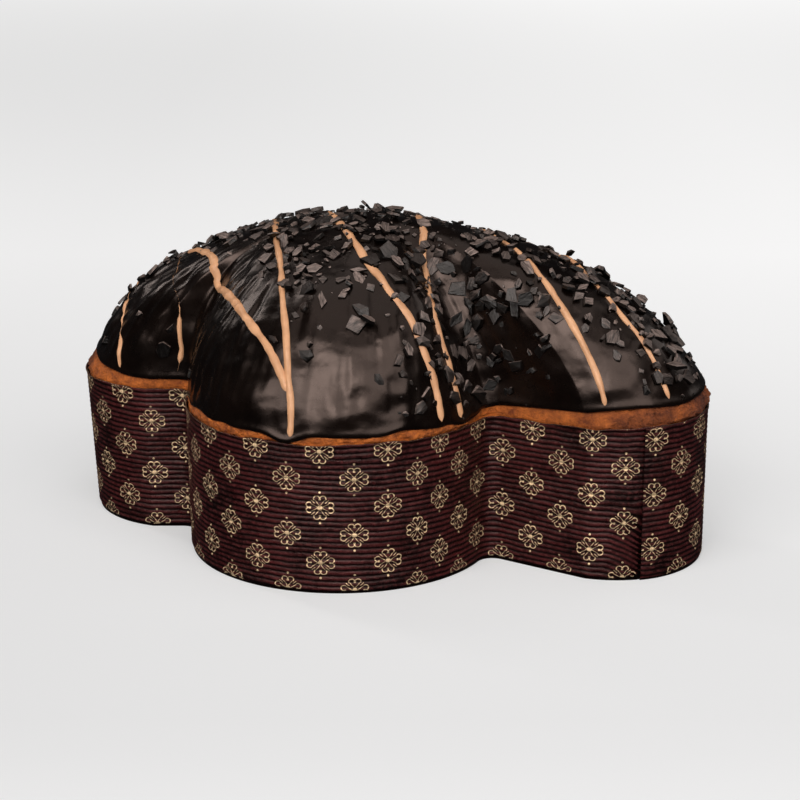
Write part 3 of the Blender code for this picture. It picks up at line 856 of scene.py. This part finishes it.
def make_skin(material):
    """The glaze: a wavy skin with flow ridges and a round lip, closed underneath."""
    angles, _ = even_angles(SKIN_COLUMNS, 0.0)
    angles = angles[:-1]
    walk = spokes(angles) * 0.13
    lips = lip_phis(angles) + math.radians(0.35) * swirl(walk, 0.016, 12)
    share = np.linspace(0, 1, SKIN_ROWS + 1)[1:, None]
    phis = share * lips[None]
    grid_angles = np.broadcast_to(angles, phis.shape)
    points = dome(grid_angles, phis)
    down = unit(np.gradient(points, axis=0))
    around = unit(np.roll(points, -1, axis=1) - np.roll(points, 1, axis=1))
    normal = unit(np.cross(down, around))
    fade = smooth_step((1 - share) / EDGE_RELIEF_FADE)
    relief = glaze_relief(points, grid_angles, phis) * fade
    bead = GLAZE_BEAD * np.exp(-((1 - share) / 0.022) ** 2) * (1 + 0.5 * swirl(walk, 0.022, 13))[None]
    outer = points + normal * (relief + bead)[..., None]
    lip = round_lip(outer[-1], normal[-1], down[-1])
    inner = [dome(angles, lips * k / 7, GLAZE) for k in range(6, 0, -1)]
    rings = np.concatenate([outer, lip, np.array(inner)])
    crown = dome(np.zeros(1), np.zeros(1))[0]
    crown_lift = glaze_relief(crown[None], np.zeros(1), np.zeros(1))[0]
    top = crown + np.array([0, 0, crown_lift])
    thing = closed_rings("glaze_skin", rings, top, crown - np.array([0, 0, GLAZE]), material)
    return thing, outer, normal, phis


def round_lip(edge, normal, down):
    """Rings of the glaze's rounded lip, from the outer edge round to the underside."""
    radius = GLAZE / 2
    heart = edge - normal * radius
    lip = []
    for turn in np.linspace(0, np.pi, 9)[1:]:
        drop = down * radius * 1.15 * math.sin(turn)
        lip.append(heart + normal * radius * math.cos(turn) + drop)
    return np.array(lip)


def curve_through(points, samples):
    """Points along a smooth curve that passes through the given ones."""
    padded = [points[0] * 2 - points[1]] + points + [points[-1] * 2 - points[-2]]
    result = []
    for i in range(1, len(padded) - 2):
        before, start, end, after = padded[i - 1:i + 3]
        for k in range(samples):
            t = k / samples
            result.append(0.5 * (2 * start + (end - before) * t
                                 + (2 * before - 5 * start + 4 * end - after) * t ** 2
                                 + (3 * start - before - 3 * end + after) * t ** 3))
    result.append(points[-1])
    return result


def strand_places(route, joined):
    """Places on the dome along a stroke: its low ends run to the lip unless it joins another."""
    line = curve_through([Vector(corner) for corner in route], 40)
    line = np.array([tuple(spot) for spot in line])
    angles, phis = dome_places(line[:, 0], line[:, 1])
    lows = lip_phis(angles) - STRAND_END
    places = np.stack([angles, np.minimum(phis, lows)], 1)
    for end in (0, -1):
        if phis[end] > STRAND_LOW and not joined:
            run = np.repeat(places[end][None], 8, axis=0)
            run[:, 1] += (lows[end] - run[:, 1]) * np.arange(1, 9) / 8
            places = np.concatenate([places, run] if end else [run[::-1], places])
    return places


def even_steps(points, step):
    """The same line, and what goes with its points, in even steps of its first three numbers."""
    lengths = np.linalg.norm(np.diff(points[:, :3], axis=0), axis=1)
    walked = np.concatenate([[0], np.cumsum(lengths)])
    wanted = np.linspace(0, walked[-1], max(8, int(walked[-1] / step)))
    return np.stack([np.interp(wanted, walked, points[:, k]) for k in range(points.shape[1])], 1)


def broken_cover(number, line, heights):
    """How much of its width a stroke keeps: the two on the head are thin and fade out upwards."""
    for broken, top in BROKEN_STRANDS:
        if number == broken:
            patchy = np.clip(0.60 + 0.75 * swirl(line, 0.010, 45), 0.12, 1)
            return patchy * (1 - 0.88 * smooth_step((heights - top) / 0.006))
    return 1.0


def strand_line(places):
    """Points and normals of a stroke's middle line on the uneven glaze, in even steps."""
    places[:, 0] = np.unwrap(places[:, 0])
    base, _ = dome_frames(places[:, 0], places[:, 1])
    steps = even_steps(np.column_stack([base, places]), STRAND_STEP)
    angles, phis = steps[:, 3], steps[:, 4]
    base, normal = dome_frames(angles, phis)
    fade = smooth_step((1 - phis / lip_phis(angles)) / EDGE_RELIEF_FADE)
    return base + normal * (glaze_relief(base, angles, phis) * fade)[:, None], normal


def strand_rings(number, places):
    """Sections of one stroke: a low rounded ridge of uneven width."""
    base, normal = strand_line(places)
    side = unit(np.cross(unit(np.gradient(base, axis=0)), normal))
    count = np.arange(len(base))
    line = np.stack([count * STRAND_STEP, np.full(len(base), number * 0.7), 0.0 * count], -1)
    base = base + side * (STRAND_WANDER * swirl(line, 0.018, 41))[:, None]
    uneven = 1 + 0.12 * swirl(line, 0.014, 42) + 0.05 * swirl(line, 0.006, 43)
    ends = np.minimum(count, count[::-1]) * STRAND_STEP
    kept = np.sqrt(np.clip(ends / STRAND_TAPER, 0.02, 1)) * broken_cover(number, line, base[:, 2])
    width = STRAND_WIDTHS[number] * uneven * kept
    height = STRAND_HEIGHT * (1 + 0.18 * swirl(line, 0.012, 44)) * kept
    section = []
    for turn in np.linspace(-0.5, 0.5, 9) * np.pi:
        reach = width / 2 * math.sin(turn)
        rise = height * math.cos(turn) ** 0.8 - STRAND_SINK * abs(math.sin(turn))
        section.append(base + side * reach[:, None] + normal * rise[:, None])
    section.append(base - normal * (STRAND_SINK * 2))
    return np.stack(section, 1)


def make_drizzle(material):
    """All strokes of caramel icing as one mesh."""
    all_points, all_faces = [], []
    offset = 0
    for number, route in enumerate(STRAND_ROUTES):
        rings = strand_rings(number, strand_places(route, number == JOINED_STRAND))
        rows, columns = rings.shape[:2]
        all_points.append(rings.reshape(-1, 3))
        all_faces += grid_faces(rows, columns, True, offset)
        all_faces.append([offset + k for k in range(columns)][::-1])
        all_faces.append([offset + (rows - 1) * columns + k for k in range(columns)])
        offset += rows * columns
    return mesh_object("caramel_drizzle", np.concatenate(all_points), all_faces, material)


def flaked_width(x):
    """Half the width, along Y, of the zone that the flakes were strewn over."""
    shoulder = 0.062 * np.exp(-((x - 0.002) / 0.050) ** 2)
    return 0.016 + shoulder + 0.016 * smooth_step((x - 0.040) / 0.050)


def flake_chance(x, y):
    """How likely a flake is at a place: most on top, and a cluster on the front wing's shoulder."""
    edge = np.abs(y) / flaked_width(x)
    cluster = np.exp(-((x - CLUSTER[0]) ** 2 + (y - CLUSTER[1]) ** 2) / CLUSTER[2] ** 2)
    return np.maximum(0.03 + 0.97 * (1 - smooth_step((edge - 0.70) / 0.45)), 0.9 * cluster)


def shard(draw, size, slim, thickness):
    """One flake: corners and faces of an uneven flat shard, with a broken upper face."""
    corners = draw.choice((4, 4, 5, 5, 6))
    turn = draw.uniform(0, 1)
    ring = []
    for k in range(corners):
        around = 2 * math.pi * (k + turn + draw.uniform(-0.24, 0.24)) / corners
        reach = size / 2 * draw.uniform(0.78, 1.18)
        ring.append(Vector((math.cos(around) * reach, math.sin(around) * reach * slim, 0)))
    slope = Vector((draw.uniform(-0.16, 0.16), draw.uniform(-0.16, 0.16)))
    low = [corner.copy() for corner in ring]
    high = []
    for corner in ring:
        shrink = draw.uniform(0.84, 1.0)
        level = thickness * draw.uniform(0.85, 1.1) + corner.x * slope.x + corner.y * slope.y
        high.append(Vector((corner.x * shrink, corner.y * shrink, level)))
    peak = Vector((draw.uniform(-0.2, 0.2) * size, draw.uniform(-0.15, 0.15) * size,
                   thickness * draw.uniform(1.0, 1.25)))
    points = low + high + [peak]
    faces = [list(range(corners))[::-1]]
    for k in range(corners):
        n = (k + 1) % corners
        faces.append([k, n, corners + n, corners + k])
        faces.append([corners + k, corners + n, 2 * corners])
    return points, faces


def flake_places(outer, normal, phis):
    """Seeded places for the flakes on the skin, the largest first, some of them stacked."""
    draw = np.random.default_rng(FLAKE_SEED)
    side = np.linalg.norm(np.roll(outer, -1, axis=1) - outer, axis=-1)
    down = np.linalg.norm(np.gradient(outer, axis=0), axis=-1)
    weight = side * down * flake_chance(outer[..., 0], outer[..., 1])
    weight = weight * (phis / phis[-1][None] < 0.95)
    order = draw.choice(weight.size, size=FLAKE_TRIES, p=(weight / weight.sum()).ravel())
    spots = outer.reshape(-1, 3)[order]
    ups = normal.reshape(-1, 3)[order]
    taken = np.zeros((0, 3))
    sizes = np.zeros(0)
    chosen = []
    for spot, up in zip(spots, ups):
        share = len(chosen) / SMALL_FLAKES
        size = FLAKE_SMALLEST + (FLAKE_LARGEST - FLAKE_SMALLEST) * (1 - share) ** 1.4
        stack = 0.0
        if len(taken):
            away = np.linalg.norm(taken - spot, axis=1) / ((sizes + size) / 2)
            if away.min() < 0.52:
                continue
            stack = STACK_STEP * float((away < 0.85).sum())
        taken = np.vstack([taken, spot])
        sizes = np.append(sizes, size)
        chosen.append((Vector(spot), Vector(up), size, min(stack, STACK_MOST)))
        if len(chosen) == SMALL_FLAKES:
            break
    return chosen


def shard_mesh(name, shards, material):
    """One mesh of shards: each has its place, turn, corners, depth, faces, marks and tone."""
    all_points, all_faces, tones = [], [], []
    for point, turn, corners, sunk, faces, marks, tone in shards:
        offset = len(all_points)
        all_points += [point + turn @ (corner - Vector((0, 0, sunk))) for corner in corners]
        tones += [(tone, mark.x, mark.y) for mark in marks]
        all_faces += [[offset + k for k in face] for face in faces]
    thing = mesh_object(name, np.array(all_points), all_faces, material, smooth=False)
    point_values(thing, "tone", tones)
    return thing


def make_flakes(places, material):
    """All flakes as one mesh: flat shards at every tilt, their low corners in the glaze."""
    draw = random.Random(FLAKE_SEED + 1)
    shards = []
    for point, up, size, stack in places:
        slim = draw.uniform(0.48, 0.95)
        thickness = draw.uniform(0.0008, 0.0019) * (0.6 + 0.4 * size / FLAKE_LARGEST)
        points, faces = shard(draw, size, slim, thickness)
        tilt = min(abs(draw.gauss(0, 0.30)), 0.95) * (1.0 if up.z > STEEP else 0.3)
        heading = draw.uniform(0, 2 * math.pi)
        lean = Matrix.Rotation(tilt, 3, Vector((math.cos(heading), math.sin(heading), 0)))
        spin = Matrix.Rotation(draw.uniform(0, 2 * math.pi), 3, "Z")
        turn = up.to_track_quat("Z", "X").to_matrix() @ spin
        corners = [lean @ corner for corner in points]
        sunk = min(corner.z for corner in corners) + FLAKE_SINK - stack
        shards.append((point, turn, corners, sunk, faces, points, draw.random()))
    return shard_mesh("chocolate_flakes", shards, material)


def make_crumbs(outer, normal, material):
    """Fine chocolate dust and splinters around the flakes."""
    draw = random.Random(FLAKE_SEED + 2)
    flat = outer.reshape(-1, 3)
    ups = normal.reshape(-1, 3)
    chance = flake_chance(flat[:, 0], flat[:, 1])
    weight = chance / chance.sum()
    order = np.random.default_rng(FLAKE_SEED + 3).choice(len(flat), size=CRUMBS, p=weight)
    sizes = [draw.uniform(*CRUMB_SIZES) for _ in order]
    shards = []
    for index, size in zip(order, sizes):
        points, faces = shard(draw, size, draw.uniform(0.35, 0.9), size * draw.uniform(0.2, 0.5))
        spin = Matrix.Rotation(draw.uniform(0, CRUMB_TURN), 3, "Z")
        turn = Vector(ups[index]).to_track_quat("Z", "X").to_matrix() @ spin
        place = Vector(flat[index])
        shards.append((place, turn, points, CRUMB_SINK, faces, points, draw.random()))
    return shard_mesh("chocolate_crumbs", shards, material)


def towards(azimuth, elevation):
    """Direction from the object: azimuth 0 is in front of it and positive to the right."""
    return Vector((math.sin(azimuth) * math.cos(elevation),
                   -math.cos(azimuth) * math.cos(elevation), math.sin(elevation)))


def aim(thing, middle, direction, distance):
    """Puts a camera or light in a direction from a point, turned to look at it."""
    thing.location = middle + direction * distance
    thing.rotation_euler = (-direction).to_track_quat("-Z", "Y").to_euler()
    bpy.context.scene.collection.objects.link(thing)


def make_camera():
    data = bpy.data.cameras.new("camera")
    data.lens = CAMERA_LENS
    data.sensor_width = SENSOR_WIDTH
    data.clip_end = 50.0
    camera = bpy.data.objects.new("camera", data)
    aim(camera, CAMERA_TARGET, towards(CAMERA_AZIMUTH, CAMERA_ELEVATION), CAMERA_DISTANCE)
    bpy.context.scene.camera = camera


def floor_glow(nodes):
    """Glow of the floor, painted light: stronger away from the camera, at the front edge and to the
    right, dimmest just in front of the object.
    """
    x, y, _ = nodes.three(nodes.place())
    ahead, aside = math.cos(CAMERA_AZIMUTH), math.sin(CAMERA_AZIMUTH)
    places = {"back": nodes.minus(nodes.times(y, ahead), nodes.times(x, aside)),
              "right": nodes.plus(nodes.times(x, ahead), nodes.times(y, aside))}
    glow = 0.0
    for direction, start, end, low, high in FLOOR_RAMPS:
        glow = nodes.plus(glow, nodes.span(places[direction], start, end, low, high))
    return glow


def make_floor():
    """A wide pale floor whose glow is painted light: it grows away from the camera, as the light on a
    lit sweep does.
    """
    nodes = Nodes("pale_floor")
    nodes.link(FLOOR_GLOW_WHITE, nodes.shader.inputs["Emission Color"])
    nodes.link(floor_glow(nodes), nodes.shader.inputs["Emission Strength"])
    material = nodes.finish(colour=FLOOR_GREY, roughness=0.9, specular=0.1)
    turns = np.linspace(0, 2 * np.pi, FLOOR_SIDES + 1)[:-1]
    ring = spokes(turns) * FLOOR_RADIUS + np.array([0, 0, FLOOR_LEVEL])
    floor = mesh_object("floor", ring, [list(range(FLOOR_SIDES))], material, smooth=False)
    floor.visible_glossy = False


def area_light(name, azimuth, elevation, distance, size, radiance):
    """A soft box that looks at the object from its azimuth and elevation in degrees."""
    data = bpy.data.lights.new(name, "AREA")
    data.shape = "RECTANGLE"
    data.size, data.size_y = size
    data.color = WARM
    data.energy = math.pi * size[0] * size[1] * radiance
    light = bpy.data.objects.new(name, data)
    aim(light, LIGHT_TARGET, towards(math.radians(azimuth), math.radians(elevation)), distance)


def make_world():
    """Dim all round, but pale where the camera sees past the floor."""
    world = bpy.data.worlds.new("studio")
    world.use_nodes = True
    tree = world.node_tree
    seen = tree.nodes.new("ShaderNodeLightPath")
    mixed = tree.nodes.new("ShaderNodeMixShader")
    tree.links.new(seen.outputs["Is Camera Ray"], mixed.inputs[0])
    for place, (colour, strength) in enumerate((WORLD_DIM, WORLD_PALE)):
        sky = tree.nodes.new("ShaderNodeBackground")
        sky.inputs["Color"].default_value = colour
        sky.inputs["Strength"].default_value = strength
        tree.links.new(sky.outputs[0], mixed.inputs[1 + place])
    tree.links.new(mixed.outputs[0], tree.nodes["World Output"].inputs["Surface"])
    bpy.context.scene.world = world


def make_studio():
    make_camera()
    make_floor()
    make_world()
    for light in SOFT_BOXES:
        area_light(*light)


def dress():
    """Makes every piece and says what it rides on."""
    paper, crust = paper_material(), crust_material()
    chocolate, flake, caramel = glaze_material(), flake_material(), drizzle_material()
    mould = make_mould(paper)
    bread = make_crust(crust)
    skin, outer, normal, phis = make_skin(chocolate)
    drizzle = make_drizzle(caramel)
    flakes = make_flakes(flake_places(outer, normal, phis), flake)
    crumbs = make_crumbs(outer, normal, flake)
    for piece, slot in ((mould, "paper"), (bread, "crust"), (skin, "chocolate"),
                        (drizzle, "drizzle"), (flakes, "flakes"), (crumbs, "flakes")):
        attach(piece, "root")
    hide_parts("paper_case")
    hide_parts("bread")
    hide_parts("glaze")
    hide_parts("glaze")
    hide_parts("glaze")


make_studio()
dress()
bpy.context.scene.view_settings.view_transform = "Standard"
